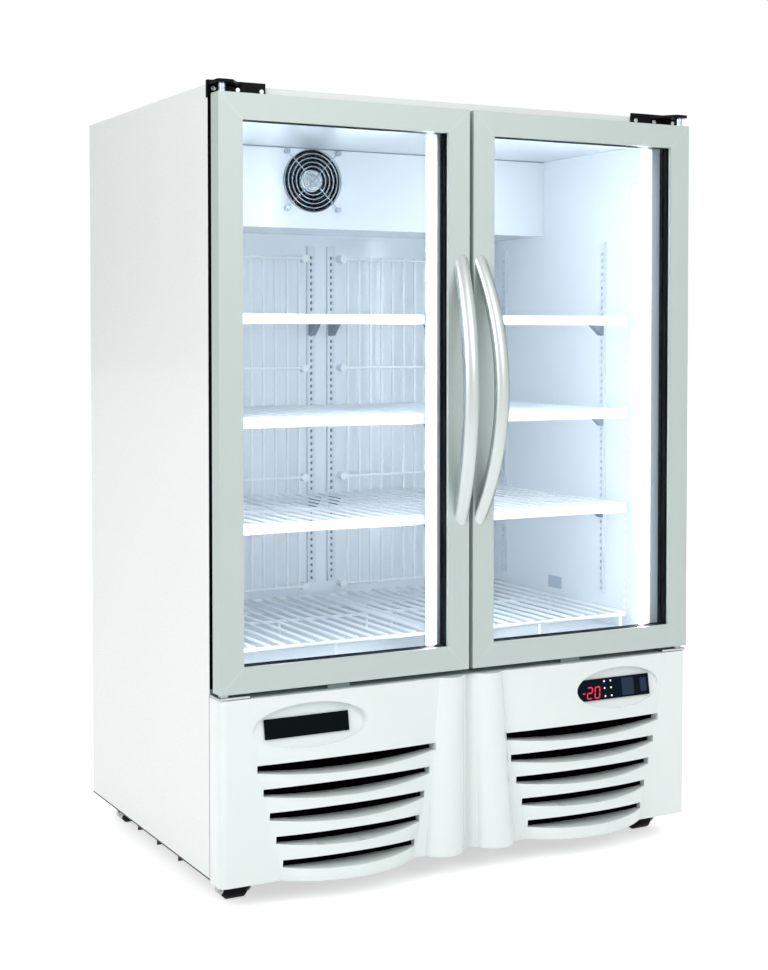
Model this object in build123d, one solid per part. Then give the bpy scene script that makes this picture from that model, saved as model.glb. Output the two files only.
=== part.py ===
from build123d import *
import math
import os

# Upright freezer with two glass doors. Millimetres, +Z up, front towards -Y.
# The origin is on the floor, under the middle of the whole object's box.

# Cabinet
cabinet_width = 914.0
cabinet_depth = 584.0
cabinet_bottom = 46.0
cabinet_top = 1304.0
shell_sheet = 1.0
liner_sheet = 1.5
side_wall = 48.0
roof_wall = 47.0
back_wall = 49.0
interior_floor = 365.0
floor_wall = 40.0
breaker_depth = 6.0
mullion_width = 82.0
mullion_depth = 40.0
sill_rise = 24.0

# Doors
door_bottom = 347.0
door_under_top = 17.0
door_thickness = 29.4
door_gap = 8.0
seal_gap = 15.6
stile_face = 41.0
stile_body = 29.0
lip_thickness = 6.0
edge_skin = 6.0
inner_frame_depth = 5.4
pane_thickness = 4.0
gasket_width = 16.0
gasket_inset = 15.0
gasket_clearance = 0.3
glazing_clearance = 1.0

# Handles
handle_bottom = 592.0
handle_top = 1045.0
handle_bow = 49.67
handle_lean = 10.95
handle_width = 28.0
handle_thickness = 22.0
handle_offset = 20.5

# Hinges
pin_diameter = 10.0
pin_clearance = 0.05
pin_from_edge = 12.0
pin_depth_in_door = 20.0
hinge_height_over_door = 23.0
hinge_lift = 0.5
hinge_plate = 5.0
hinge_front_margin = 2.0
top_hinge_width = 98.0
hinge_arm_root = 56.0
hinge_arm_tip = 26.0
hinge_arm_corner = 6.0
hinge_arm_drop = 3.0
hinge_tab_sheet = 2.0
hinge_tab_depth = 2.0
hinge_tab_drop = 28.0
lower_hinge_width = 52.0
lower_hinge_plate = 4.0
lower_hinge_lift = 0.5
lower_washer_diameter = 17.0
screw_head_diameter = 8.0
screw_head_height = 2.4
screw_inset = 8.0
hinge_screw_count = 3
hinge_screw_pitch = 41.0

# Kick panel
kick_bottom = 40.5
kick_top = 337.5
kick_skin = 4.0
kick_corner_radius = 12.0
groove_half_width = 13.0
groove_depth = 12.0
chin_shift = 3.5
chin_margin_top = 52.0
chin_margin_bottom = 110.0
chin_swell_top = 4.0
chin_swell_bottom = 42.0
rib_foot = 14.0
rib_width_top = 48.0
rib_width_bottom = 74.0
rib_swell_top = 11.0
rib_swell_bottom = 24.0
louvre_count = 5
louvre_pitch = 38.7
louvre_first = 217.0
louvre_end_height = 12.0
louvre_arch_top = 3.5
louvre_arch_bottom = 7.0
louvre_dip_top = 9.5
louvre_dip_bottom = 3.5
louvre_margin_top = 70.0
louvre_margin_bottom = 112.0
louvre_depth_top = 20.0
louvre_depth_bottom = 6.0
louvre_frame = 10.0
filter_thickness = 4.0

# Dishes, badge plate and controller in the kick panel
dish_height = 285.0
dish_half_height = 36.0
dish_tilt = 10.0
dish_proud = 4.0
dish_backing = 28.0
dish_from_edge = 155.0
badge_dish_half = 100.0
badge_shift = -5.0
badge_width = 149.0
badge_height = 32.0
badge_thickness = 4.0
control_dish_half = 91.0
control_shift = -9.0
control_width = 158.0
control_height = 37.0
control_thickness = 4.0
control_box_width = 130.0
control_box_height = 26.0
control_box_depth = 48.0
wide_key_width = 26.0
wide_key_height = 30.0
wide_key_x = 32.0
narrow_key_width = 14.0
narrow_key_height = 24.0
narrow_key_x = 66.0
key_clearance = 0.25
key_proud = 0.8
key_thickness = 3.0
key_corner = 2.0

# Fan wheels
blade_sheet = 1.6
blade_pitch = 32.0
blade_cover = 0.85

# Evaporator behind the ceiling cover
cover_front_depth = 352.0
cover_drop = 148.0
cover_sheet = 1.5
fan_from_edge = 351.0
fan_below_ceiling = 60.0
fan_side = 120.0
fan_depth = 38.0
fan_bore = 116.0
fan_hub = 42.0
fan_tip_clearance = 2.0
fan_blade_count = 7
fan_shaft = 6.0
fan_rotor_gap = 3.0
guard_wire = 2.0
guard_ring_count = 7
guard_ring_pitch = 7.9
guard_standoff = 5.0
guard_layer = 1.5
guard_eye = 9.6
guard_screw_spacing = 104.8
coil_side_gap = 129.0
coil_depth = 90.0
coil_height = 110.0

# Shelves, racks and wire guards
weld_sink = 1.0
shelf_tops = (601.0, 775.0, 946.0)
shelf_front_set_back = 55.0
shelf_back_gap = 18.0
shelf_side_gap = 16.0
shelf_centre_gap = 10.0
shelf_wire = 4.0
shelf_rail = 6.0
shelf_wire_pitch = 26.0
strip_height = 17.0
strip_thickness = 2.5
strip_clip_gap = 1.0
rack_height = 35.0
rack_wire = 5.0
rack_rail = 6.0
rack_leg = 5.0
rack_wire_pitch = 26.0
rack_side_gap = 8.0
rack_leg_pitch = 120.0
rack_corner = 18.0
guard_gap = 14.0
back_wire = 5.0
back_wire_pitch = 25.4
guard_over_floor = 45.0
guard_under_cover = 42.0
back_guard_inner = 54.0
back_guard_side_gap = 16.0
back_guard_rows = 4
guard_peg_x = 42.5
guard_peg_diameter = 15.0
guard_peg_stand = 1.0

# Shelf standards
standard_width = 17.0
standard_thickness = 5.0
standard_over_floor = 55.0
standard_under_cover = 22.0
slot_pitch = 12.7
slot_height = 6.0
slot_width = 4.0
standard_x = 22.0
standard_front = 146.0
standard_from_back = 41.0
clip_length = 30.0
clip_width = 13.0
clip_thickness = 4.0
clip_drop = 26.5
clip_toe = 5.0

# Lamps
lamp_depth = 18.0
lamp_thickness = 6.0
lamp_set_back = 3.0
lamp_end_gap = 14.0

# Machine compartment
base_plate = 2.5
cross_drop = 7.5
cross_sheet = 3.0
cross_places = (137.0, 237.0, 333.0)
compressor_from_edge = 242.0
compressor_from_back = 194.0
compressor_diameter = 170.0
compressor_height = 190.0
compressor_foot = 200.0
compressor_foot_sheet = 3.0
grommet_diameter = 24.0
grommet_height = 14.0
condenser_from_edge = 267.0
condenser_width = 320.0
condenser_height = 220.0
condenser_depth = 70.0
condenser_set_back = 40.0
condenser_fins = 24
condenser_fin_sheet = 0.8
condenser_tube = 10.0
condenser_rows = 4
shroud_depth = 60.0
shroud_bore = 206.0
condenser_hub = 60.0
condenser_blade_count = 5
condenser_shaft = 8.0
condenser_rotor_gap = 6.0
pan_width = 300.0
pan_depth = 180.0
pan_height = 40.0
pan_wall = 2.0
pan_from_edge = 237.0
pan_set_back = 60.0
grille_sheet = 1.2
grille_rows = 9
grille_columns = 5
grille_slot_height = 7.0
grille_slot_width = 120.0
inlet_from_edge = 127.0
inlet_height = 110.0
inlet_diameter = 22.0
inlet_length = 16.0
inlet_flange = 30.0
inlet_flange_sheet = 2.5
inlet_bore = 9.0

# Rollers
roller_diameter = 38.0
roller_width = 44.0
roller_bevel = 7.0
roller_axle = 8.0
roller_clearance = 0.05
roller_side_gap = 1.0
roller_from_edge = 52.0
roller_front = 28.0
roller_from_back = 74.0
bracket_sheet = 3.0
bracket_length = 30.0
bracket_corner = 8.0
bolt_head = 13.0
bolt_head_height = 4.0

# Places worked out from the sizes above
lean = math.radians(handle_lean)
handle_reach = math.hypot(handle_thickness / 2 * math.cos(lean), handle_width / 2 * math.sin(lean))
handle_projection = handle_bow * math.cos(lean) + handle_reach
overall_depth = handle_projection + door_thickness + seal_gap + cabinet_depth
door_front = handle_projection - overall_depth / 2
door_back = door_front + door_thickness
body_front = door_back + seal_gap
body_back = body_front + cabinet_depth
half_width = cabinet_width / 2
shell_inner = half_width - shell_sheet
shell_ceiling = cabinet_top - shell_sheet
panel_front = body_back - shell_sheet
inner_half = half_width - side_wall
inner_back = body_back - back_wall
ceiling = cabinet_top - roof_wall
deck_top = interior_floor - floor_wall
deck_bottom = deck_top - shell_sheet
mouth_back = body_front + breaker_depth
sill_top = deck_top + sill_rise
mullion_half = mullion_width / 2
mullion_back = body_front + mullion_depth
door_inner_x = door_gap / 2
door_top = cabinet_top - door_under_top
pin_x = half_width - pin_from_edge
pin_y = door_front + door_thickness / 2
hinge_bottom = door_top + hinge_lift
hinge_top = door_top + hinge_height_over_door
chin_x = half_width / 2 + chin_shift
chin_half_top = chin_x - chin_margin_top
chin_half_bottom = chin_x - chin_margin_bottom
louvre_half_top = chin_x - louvre_margin_top
louvre_half_bottom = chin_x - louvre_margin_bottom
louvre_last = louvre_first - (louvre_count - 1) * louvre_pitch
louvre_low = louvre_last - louvre_dip_bottom - louvre_frame
louvre_high = louvre_first + louvre_end_height + louvre_arch_top + louvre_frame
badge_dish_x = dish_from_edge - half_width
badge_x = badge_dish_x + badge_shift
control_dish_x = half_width - dish_from_edge
control_x = control_dish_x + control_shift
fan_x = fan_from_edge - half_width
coil_half = inner_half - coil_side_gap
compressor_x = half_width - compressor_from_edge
compressor_y = body_back - compressor_from_back
condenser_x = condenser_from_edge - half_width
pan_x = half_width - pan_from_edge
inlet_x = inlet_from_edge - half_width
roller_x = half_width - roller_from_edge
standard_bottom = interior_floor + standard_over_floor
standard_top = ceiling - cover_drop - standard_under_cover
back_guard_bottom = interior_floor + guard_over_floor
back_guard_top = ceiling - cover_drop - guard_under_cover
axle_height = roller_diameter / 2
base_top = cabinet_bottom
base_bottom = base_top - base_plate
cover_front = body_front + cover_front_depth
cover_bottom = ceiling - cover_drop
fan_z = ceiling - fan_below_ceiling
shelf_front = body_front + shelf_front_set_back
shelf_back = inner_back - shelf_back_gap
shelf_outer = inner_half - shelf_side_gap
outer_pane_front = door_front + lip_thickness
spacer_front = outer_pane_front + pane_thickness
inner_frame_front = door_back - inner_frame_depth
inner_pane_front = inner_frame_front - pane_thickness


def block(x0, x1, y0, y1, z0, z1):
    """A box between two corners, in any order of the two values on an axis."""
    size = Box(abs(x1 - x0), abs(y1 - y0), abs(z1 - z0))
    return Pos((x0 + x1) / 2, (y0 + y1) / 2, (z0 + z1) / 2) * size


def rod(start, end, diameter):
    """A round rod between two points."""
    start = Vector(*start)
    run = Vector(*end) - start
    return Solid.make_cylinder(diameter / 2, run.length, Plane(start, z_dir=run))


def drum(x, y, z, diameter, length):
    """An upright cylinder that stands on z."""
    return rod((x, y, z), (x, y, z + length), diameter)


def fused(shapes):
    """All the shapes joined into one solid."""
    return Part() + list(shapes)


def save(name, shape):
    """Write one node."""
    export_step(shape, f"parts/{name}.step")


# Cabinet shell, liner and frame


def outer_shell():
    outer = block(-half_width, half_width, body_front, body_back, cabinet_bottom, cabinet_top)
    return outer - block(-shell_inner, shell_inner, body_front, body_back, cabinet_bottom, shell_ceiling)


def back_panel():
    return block(-shell_inner, shell_inner, panel_front, body_back, deck_bottom, shell_ceiling)


def foam_insulation():
    outer = block(-shell_inner, shell_inner, mouth_back, panel_front, deck_top, shell_ceiling)
    return outer - liner_outside()


def liner_outside():
    reach = inner_half + liner_sheet
    low = interior_floor - liner_sheet
    return block(-reach, reach, mouth_back, inner_back + liner_sheet, low, ceiling + liner_sheet)


def inner_liner():
    return liner_outside() - block(-inner_half, inner_half, mouth_back, inner_back, interior_floor, ceiling)


def breaker_frame():
    outer = block(-shell_inner, shell_inner, body_front, mouth_back, sill_top, shell_ceiling)
    return outer - block(-inner_half, inner_half, body_front, mouth_back, interior_floor, ceiling)


def centre_mullion():
    post = block(-mullion_half, mullion_half, body_front, mullion_back, interior_floor, ceiling)
    corners = post.edges().filter_by(Axis.Z).group_by(Axis.Y)[-1]
    return fillet(corners, breaker_depth / 2)


def cabinet_deck():
    sheet = block(-shell_inner, shell_inner, body_front, panel_front, deck_bottom, deck_top)
    sill = block(-shell_inner, shell_inner, body_front, mouth_back, deck_top, sill_top)
    return sheet + sill


def base_frame():
    plate = block(-half_width, half_width, body_front, body_back, base_bottom, base_top)
    for place in cross_places:
        y = body_front + place
        plate += block(-half_width, half_width, y, y + cross_sheet, base_bottom - cross_drop, base_bottom)
    return plate


# Kick panel with its louvres, badge plate and controller


def chin_section(centre, half, swell, z):
    left = centre - half
    right = centre + half
    root = door_front + kick_skin
    arc = ThreePointArc((left, door_front, z), (centre, door_front - swell, z), (right, door_front, z))
    back = Polyline((right, door_front, z), (right, root, z), (left, root, z), (left, door_front, z))
    return make_face([arc] + back.edges())


def chin(side):
    low = chin_section(side * chin_x, chin_half_bottom, chin_swell_bottom, kick_bottom)
    high = chin_section(side * chin_x, chin_half_top, chin_swell_top, kick_top)
    return loft([low, high])


def rib(side):
    """Upright swelling beside the middle groove, wider and prouder towards the floor."""
    half_low = rib_width_bottom / 2
    half_high = rib_width_top / 2
    low = chin_section(side * (rib_foot + half_low), half_low, rib_swell_bottom, kick_bottom)
    high = chin_section(side * (rib_foot + half_high), half_high, rib_swell_top, kick_top)
    return loft([low, high])


def down_rows(row, top, bottom):
    """A size that changes evenly from the top slot to the bottom slot."""
    return top + (bottom - top) * row / (louvre_count - 1)


def louvre_slot(side, row):
    """One slot: short upright ends, a sill that dips and a top edge that arches."""
    centre = side * chin_x
    half = down_rows(row, louvre_half_top, louvre_half_bottom)
    sill = louvre_first - row * louvre_pitch
    shoulder = sill + louvre_end_height
    front = door_front - chin_swell_bottom - kick_skin
    depth = filter_face()[1] - front
    low = (centre, front, sill - down_rows(row, louvre_dip_top, louvre_dip_bottom))
    crown = (centre, front, shoulder + down_rows(row, louvre_arch_top, louvre_arch_bottom))
    bottom = ThreePointArc((centre - half, front, sill), low, (centre + half, front, sill))
    top = ThreePointArc((centre + half, front, shoulder), crown, (centre - half, front, shoulder))
    ends = [
        Line((x, front, sill), (x, front, shoulder)) for x in (centre - half, centre + half)
    ]
    return extrude(make_face([bottom, top] + ends), amount=depth, dir=(0, 1, 0))


def louvre_back(z):
    """Depth of the filter behind the slots; it leans so that all the blades are about as deep."""
    share = (z - louvre_last) / (louvre_first - louvre_last)
    return door_front + louvre_depth_bottom + (louvre_depth_top - louvre_depth_bottom) * share


def filter_face():
    """Low and high depth of the filter's front."""
    return louvre_back(louvre_low), louvre_back(louvre_high)


def louvre_field(side, front, back):
    """The block behind all the slots of one half; front and back are its depths, low and high."""
    reach = louvre_half_top + louvre_frame
    x = side * chin_x - reach
    outline = Polyline(
        (x, front[0], louvre_low), (x, back[0], louvre_low),
        (x, back[1], louvre_high), (x, front[1], louvre_high), close=True,
    )
    return extrude(make_face(outline.edges()), amount=2 * reach, dir=(1, 0, 0))


def dish_plane(x):
    """The tilted floor of a dish, level with the panel along its lower edge."""
    tilt = math.radians(dish_tilt)
    y = door_front - dish_proud + dish_half_height * math.sin(tilt)
    return Plane((x, y, dish_height), x_dir=(1, 0, 0), z_dir=(0, -math.cos(tilt), math.sin(tilt)))


def on_dish(x, dish_x, sketch, low, high):
    """A flat sketch raised over a dish floor between two heights."""
    solid = extrude(Pos(x - dish_x, 0, low) * sketch, amount=high - low)
    return dish_plane(dish_x) * solid


def kick_panel():
    panel = block(-half_width, half_width, door_front, body_front, kick_bottom, kick_top)
    panel = fillet(panel.edges().filter_by(Axis.Z).group_by(Axis.Y)[0], kick_corner_radius)
    hollow = block(
        kick_skin - half_width, half_width - kick_skin, door_front + kick_skin, body_front,
        kick_bottom, kick_top - kick_skin,
    )
    hollow = fillet(hollow.edges().filter_by(Axis.Z).group_by(Axis.Y)[0], kick_corner_radius - kick_skin)
    hollow -= block(
        -groove_half_width - kick_skin, groove_half_width + kick_skin,
        door_front, door_front + groove_depth + kick_skin, kick_bottom, kick_top,
    )
    for side in (-1, 1):
        panel += chin(side)
        panel += rib(side)
        hollow -= louvre_field(side, (door_front, door_front), filter_face())
    for x, half in ((badge_dish_x, badge_dish_half), (control_dish_x, control_dish_half)):
        hollow -= block(
            x - half, x + half, door_front, door_front + dish_backing,
            dish_height - dish_half_height, kick_top,
        )
    panel -= hollow
    groove = Polyline(
        (-groove_half_width, door_front, kick_bottom), (groove_half_width, door_front, kick_bottom),
        (0, door_front + groove_depth, kick_bottom), close=True,
    )
    panel -= extrude(make_face(groove.edges()), amount=kick_top - kick_bottom, dir=(0, 0, 1))
    for side in (-1, 1):
        for row in range(louvre_count):
            panel -= louvre_slot(side, row)
    reach = chin_swell_bottom + dish_backing
    panel -= on_dish(badge_dish_x, badge_dish_x, Ellipse(badge_dish_half, dish_half_height), 0, reach)
    panel -= on_dish(control_dish_x, control_dish_x, Ellipse(control_dish_half, dish_half_height), 0, reach)
    pocket = Rectangle(control_box_width + 2 * key_clearance, control_box_height + 2 * key_clearance)
    panel -= on_dish(control_x, control_dish_x, pocket, -reach, 0)
    return panel


def air_filters():
    front = filter_face()
    back = (front[0] + filter_thickness, front[1] + filter_thickness)
    return Compound([louvre_field(side, front, back) for side in (-1, 1)])


def badge_plate():
    return on_dish(badge_x, badge_dish_x, Rectangle(badge_width, badge_height), 0, badge_thickness)


def key_outline(width, height, grow):
    return RectangleRounded(width + 2 * grow, height + 2 * grow, key_corner + grow)


def control_panel():
    """The face, trimmed to the curve of the dish, with a hole for each key."""
    curve = Pos(control_dish_x - control_x, 0) * Ellipse(control_dish_half - key_clearance, dish_half_height)
    face = Rectangle(control_width, control_height) & curve
    face -= Pos(wide_key_x, 0) * key_outline(wide_key_width, wide_key_height, key_clearance)
    face -= Pos(narrow_key_x, 0) * key_outline(narrow_key_width, narrow_key_height, key_clearance)
    return on_dish(control_x, control_dish_x, face, 0, control_thickness)


def control_housing():
    outline = Rectangle(control_box_width, control_box_height)
    return on_dish(control_x, control_dish_x, outline, -control_box_depth, 0)


def control_key(x, width, height):
    top = control_thickness + key_proud
    return on_dish(control_x + x, control_dish_x, key_outline(width, height, 0), top - key_thickness, top)


# Axial fans


def fan_rotor(x, y, z, hub, tip, length, shaft, blades):
    """A hub on a fixed shaft, with flat blades set at a pitch; it turns about Y."""
    wheel = rod((x, y, z), (x, y + length, z), hub)
    chord = blade_cover * math.pi * (hub + tip) / 2 / blades
    root = hub / 4
    span = tip / 2 - root
    blade = Pos(root + span / 2, 0, 0) * (Rot(blade_pitch, 0, 0) * Box(span, blade_sheet, chord))
    for turn in range(blades):
        wheel += Pos(x, y + length / 2, z) * (Rot(0, turn * 360 / blades, 0) * blade)
    wheel = wheel & rod((x, y, z), (x, y + length, z), tip)
    return wheel - rod((x, y, z), (x, y + length, z), shaft + 2 * pin_clearance)


def fan_frame(x, y, z, side_x, side_z, depth, bore, hub, shaft, rotor_length, rotor_gap):
    """A square frame with a round bore; struts at its back carry the motor and its shaft."""
    frame = block(x - side_x / 2, x + side_x / 2, y, y + depth, z - side_z / 2, z + side_z / 2)
    frame -= rod((x, y, z), (x, y + depth, z), bore)
    motor_front = y + rotor_gap + rotor_length + rotor_gap
    frame += rod((x, motor_front, z), (x, y + depth, z), hub)
    strut = hub / 5
    reach_x = (bore + side_x) / 4
    reach_z = (bore + side_z) / 4
    back = y + depth
    frame += block(x - reach_x, x + reach_x, back - strut, back, z - strut / 2, z + strut / 2)
    frame += block(x - strut / 2, x + strut / 2, back - strut, back, z - reach_z, z + reach_z)
    return frame + rod((x, y + rotor_gap, z), (x, motor_front, z), shaft)


# Evaporator


def evaporator_cover():
    front = block(-inner_half, inner_half, cover_front, cover_front + cover_sheet, cover_bottom, ceiling)
    front -= rod((fan_x, cover_front, fan_z), (fan_x, cover_front + cover_sheet, fan_z), fan_bore)
    return front + block(
        -inner_half, inner_half, cover_front, inner_back, cover_bottom, cover_bottom + cover_sheet
    )


fan_frame_front = cover_front + cover_sheet
fan_rotor_length = fan_depth / 2


def evaporator_fan_frame():
    return fan_frame(
        fan_x, fan_frame_front, fan_z, fan_side, fan_side, fan_depth, fan_bore, fan_hub, fan_shaft,
        fan_rotor_length, fan_rotor_gap,
    )


def evaporator_fan_blades():
    return fan_rotor(
        fan_x, fan_frame_front + fan_rotor_gap, fan_z, fan_hub, fan_bore - 2 * fan_tip_clearance,
        fan_rotor_length, fan_shaft, fan_blade_count,
    )


def evaporator_fan_guard():
    """Wire rings on two crossed wires, with a screwed eye at each of the four ends."""
    y = cover_front - guard_standoff
    hole = guard_screw_spacing / 2
    wires = []
    for ring in range(guard_ring_count):
        radius = fan_bore / 2 - ring * guard_ring_pitch
        wires.append(Solid.make_torus(radius, guard_wire / 2, Plane((fan_x, y, fan_z), z_dir=(0, 1, 0))))
    for slope in (-1, 1):
        layer = y + slope * guard_layer
        start = (fan_x - hole, layer, fan_z - slope * hole)
        end = (fan_x + hole, layer, fan_z + slope * hole)
        wires.append(rod(start, end, guard_wire))
    for right in (-1, 1):
        for up in (-1, 1):
            x = fan_x + right * hole
            z = fan_z + up * hole
            wires.append(rod((x, y - guard_layer - guard_wire, z), (x, cover_front, z), guard_eye))
    return fused(wires)


def evaporator_coil():
    """Fin block on the ceiling, behind the fan."""
    y0 = fan_frame_front + fan_depth
    return block(-coil_half, coil_half, y0, y0 + coil_depth, ceiling - coil_height, ceiling)


# Shelves, racks, guards and what carries them


def shelf(side, top):
    """Front-to-back wires over a frame of thicker rails, welded into one piece."""
    x0 = shelf_centre_gap
    x1 = shelf_outer
    rail_z = shelf_underside(top) + shelf_rail / 2
    wire_z = top - shelf_wire / 2
    y0 = shelf_front + shelf_rail / 2
    y1 = shelf_back - shelf_rail / 2
    rails = [rod((x0, y, rail_z), (x1, y, rail_z), shelf_rail) for y in (y0, (y0 + y1) / 2, y1)]
    count = int((x1 - x0 - shelf_rail) / shelf_wire_pitch)
    step = (x1 - x0 - shelf_rail) / count
    for place in range(count + 1):
        x = x0 + shelf_rail / 2 + place * step
        rails.append(rod((x, shelf_front, wire_z), (x, shelf_back, wire_z), shelf_wire))
    rack = fused(rails)
    return rack if side > 0 else mirror(rack, about=Plane.YZ)


def shelf_underside(top):
    return top - shelf_wire - shelf_rail + weld_sink


def price_strips():
    strips = []
    inner = standard_x + clip_width / 2 + strip_clip_gap
    for top in shelf_tops:
        for side in (-1, 1):
            strips.append(block(
                side * inner, side * shelf_outer,
                shelf_front - strip_thickness, shelf_front, top - strip_height, top,
            ))
    return Compound(strips)


def standard(length):
    """One slotted strip, upright, with its back on the plane Y = 0 and its foot at Z = 0."""
    strip = block(-standard_width / 2, standard_width / 2, -standard_thickness, 0, 0, length)
    slots = [
        block(-slot_width / 2, slot_width / 2, -standard_thickness, 0, z, z + slot_height)
        for z in [slot_pitch * (row + 0.5) for row in range(int(length / slot_pitch) - 1)]
    ]
    return strip - slots


def standard_places():
    """Foot point and turn of each strip: back wall, side walls and mullion."""
    places = []
    for side in (-1, 1):
        places.append((side * standard_x, inner_back, 0))
        places.append((side * standard_x, mullion_back, 180))
        for y in (body_front + standard_front, inner_back - standard_from_back):
            places.append((side * inner_half, y, -90 * side))
    return places


def shelf_standards():
    strip = standard(standard_top - standard_bottom)
    return Compound([
        Pos(x, y, standard_bottom) * (Rot(0, 0, turn) * strip) for x, y, turn in standard_places()
    ])


def shelf_clips():
    """Brackets under the shelves: a flat head on a web that narrows down the face of the strip."""
    clips = []
    x = -clip_width / 2
    face = -standard_thickness
    for top in shelf_tops:
        z1 = shelf_underside(top)
        outline = Polyline(
            (x, face, z1), (x, face - clip_length, z1), (x, face - clip_length, z1 - clip_thickness),
            (x, face - clip_toe, z1 - clip_drop), (x, face, z1 - clip_drop), close=True,
        )
        clip = extrude(make_face(outline.edges()), amount=clip_width, dir=(1, 0, 0))
        for foot_x, foot_y, turn in standard_places():
            clips.append(Pos(foot_x, foot_y, 0) * (Rot(0, 0, turn) * clip))
    return Compound(clips)


def floor_rack(side):
    """Wire rack on short legs, with a bent frame wire round it."""
    x0 = rack_side_gap
    x1 = inner_half - rack_side_gap
    z = interior_floor + rack_height - rack_wire + 2 * weld_sink - rack_rail / 2
    wire_z = z + rack_rail / 2 + rack_wire / 2 - 2 * weld_sink
    y0 = shelf_front
    y1 = shelf_back
    frame = RectangleRounded(x1 - x0, y1 - y0, rack_corner)
    path = Pos((x0 + x1) / 2, (y0 + y1) / 2, z) * frame.wire()
    start = path.edges().sort_by(Axis.Y)[0]
    section = Plane(start @ 0.5, z_dir=start % 0.5) * Circle(rack_rail / 2)
    pieces = [sweep(section, path=path)]
    count = int((x1 - x0 - 2 * rack_corner) / rack_wire_pitch)
    step = (x1 - x0 - 2 * rack_corner) / count
    for place in range(count + 1):
        x = x0 + rack_corner + place * step
        pieces.append(rod((x, y0, wire_z), (x, y1, wire_z), rack_wire))
    middle = (y0 + y1) / 2
    pieces.append(rod((x0, middle, z), (x1, middle, z), rack_wire))
    legs = int((x1 - x0 - 2 * rack_corner) / rack_leg_pitch)
    for leg in range(legs + 1):
        x = x0 + rack_corner + leg * (x1 - x0 - 2 * rack_corner) / legs
        for y in (y0, middle, y1):
            pieces.append(rod((x, y, interior_floor), (x, y, z), rack_leg))
    rack = fused(pieces)
    return rack if side > 0 else mirror(rack, about=Plane.YZ)


guard_y = inner_back - guard_gap
guard_row_y = guard_y - back_wire + weld_sink


def guard_rows():
    """Heights of the level wires of the back guards."""
    first = back_guard_bottom + back_wire
    rise = (back_guard_top - back_wire - first) / (back_guard_rows - 1)
    return [first + row * rise for row in range(back_guard_rows)]


def back_guard(side):
    """Upright wires on level rows, held off the back wall."""
    x0 = back_guard_inner
    x1 = inner_half - back_guard_side_gap
    wires = []
    count = int((x1 - x0) / back_wire_pitch)
    for place in range(count + 1):
        x = x0 + place * back_wire_pitch
        wires.append(rod((x, guard_y, back_guard_bottom), (x, guard_y, back_guard_top), back_wire))
    row_start = guard_peg_x + guard_peg_diameter / 2
    for z in guard_rows():
        wires.append(rod((row_start, guard_row_y, z), (x1, guard_row_y, z), back_wire))
    guard = fused(wires)
    return guard if side > 0 else mirror(guard, about=Plane.YZ)


def guard_pegs():
    """Round pegs on the back wall that hold the inner ends of the level wires."""
    front = guard_row_y - back_wire / 2 - guard_peg_stand
    return [
        rod((side * guard_peg_x, front, z), (side * guard_peg_x, inner_back, z), guard_peg_diameter)
        for side in (-1, 1) for z in guard_rows()
    ]


def door_lamps():
    y0 = mouth_back + lamp_set_back
    lamps = []
    for side in (-1, 1):
        for wall, towards in ((inner_half, -1), (mullion_half, 1)):
            lamps.append(block(
                side * wall, side * (wall + towards * lamp_thickness), y0, y0 + lamp_depth,
                interior_floor + lamp_end_gap, ceiling - lamp_end_gap,
            ))
    return Compound(lamps)


# Machine compartment


def compressor():
    """Welded pot on a foot plate that stands on four rubber grommets."""
    y = compressor_y
    foot_z = base_top + grommet_height
    pot_z = foot_z + compressor_foot_sheet
    pot = drum(compressor_x, y, pot_z, compressor_diameter, compressor_height)
    pot = fillet(pot.edges().filter_by(GeomType.CIRCLE).sort_by(Axis.Z)[-1], compressor_diameter / 4)
    half = compressor_foot / 2
    pot += block(compressor_x - half, compressor_x + half, y - half, y + half, foot_z, pot_z)
    reach = half - grommet_diameter / 2
    grommets = [
        drum(compressor_x + right * reach, y + back * reach, base_top, grommet_diameter, grommet_height)
        for right in (-1, 1) for back in (-1, 1)
    ]
    return Compound([pot] + grommets)


condenser_front = body_front + condenser_set_back
condenser_back = condenser_front + condenser_depth


def condenser_coil():
    """Thin fins on level tubes, between two end plates that stand on the base."""
    left = condenser_x - condenser_width / 2
    step = condenser_width / condenser_fins
    pieces = []
    for fin in range(condenser_fins + 1):
        x = left + fin * step
        pieces.append(block(
            x - condenser_fin_sheet / 2, x + condenser_fin_sheet / 2,
            condenser_front, condenser_back, base_top, base_top + condenser_height,
        ))
    for row in range(condenser_rows):
        z = base_top + condenser_height * (row + 0.5) / condenser_rows
        y = (condenser_front + condenser_back) / 2
        right = left + condenser_width + condenser_tube
        pieces.append(rod((left - condenser_tube, y, z), (right, y, z), condenser_tube))
    return fused(pieces)


condenser_fan_z = base_top + condenser_height / 2
condenser_rotor_length = shroud_depth / 2 - condenser_rotor_gap


def condenser_fan_frame():
    return fan_frame(
        condenser_x, condenser_back, condenser_fan_z, condenser_width, condenser_height, shroud_depth,
        shroud_bore, condenser_hub, condenser_shaft, condenser_rotor_length, condenser_rotor_gap,
    )


def condenser_fan_blades():
    return fan_rotor(
        condenser_x, condenser_back + condenser_rotor_gap, condenser_fan_z, condenser_hub,
        shroud_bore - 2 * condenser_rotor_gap, condenser_rotor_length, condenser_shaft, condenser_blade_count,
    )


def condensate_pan():
    y0 = body_front + pan_set_back
    x0 = pan_x - pan_width / 2
    x1 = pan_x + pan_width / 2
    tray = block(x0, x1, y0, y0 + pan_depth, base_top, base_top + pan_height)
    return tray - block(
        x0 + pan_wall, x1 - pan_wall, y0 + pan_wall, y0 + pan_depth - pan_wall,
        base_top + pan_wall, base_top + pan_height,
    )


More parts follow.
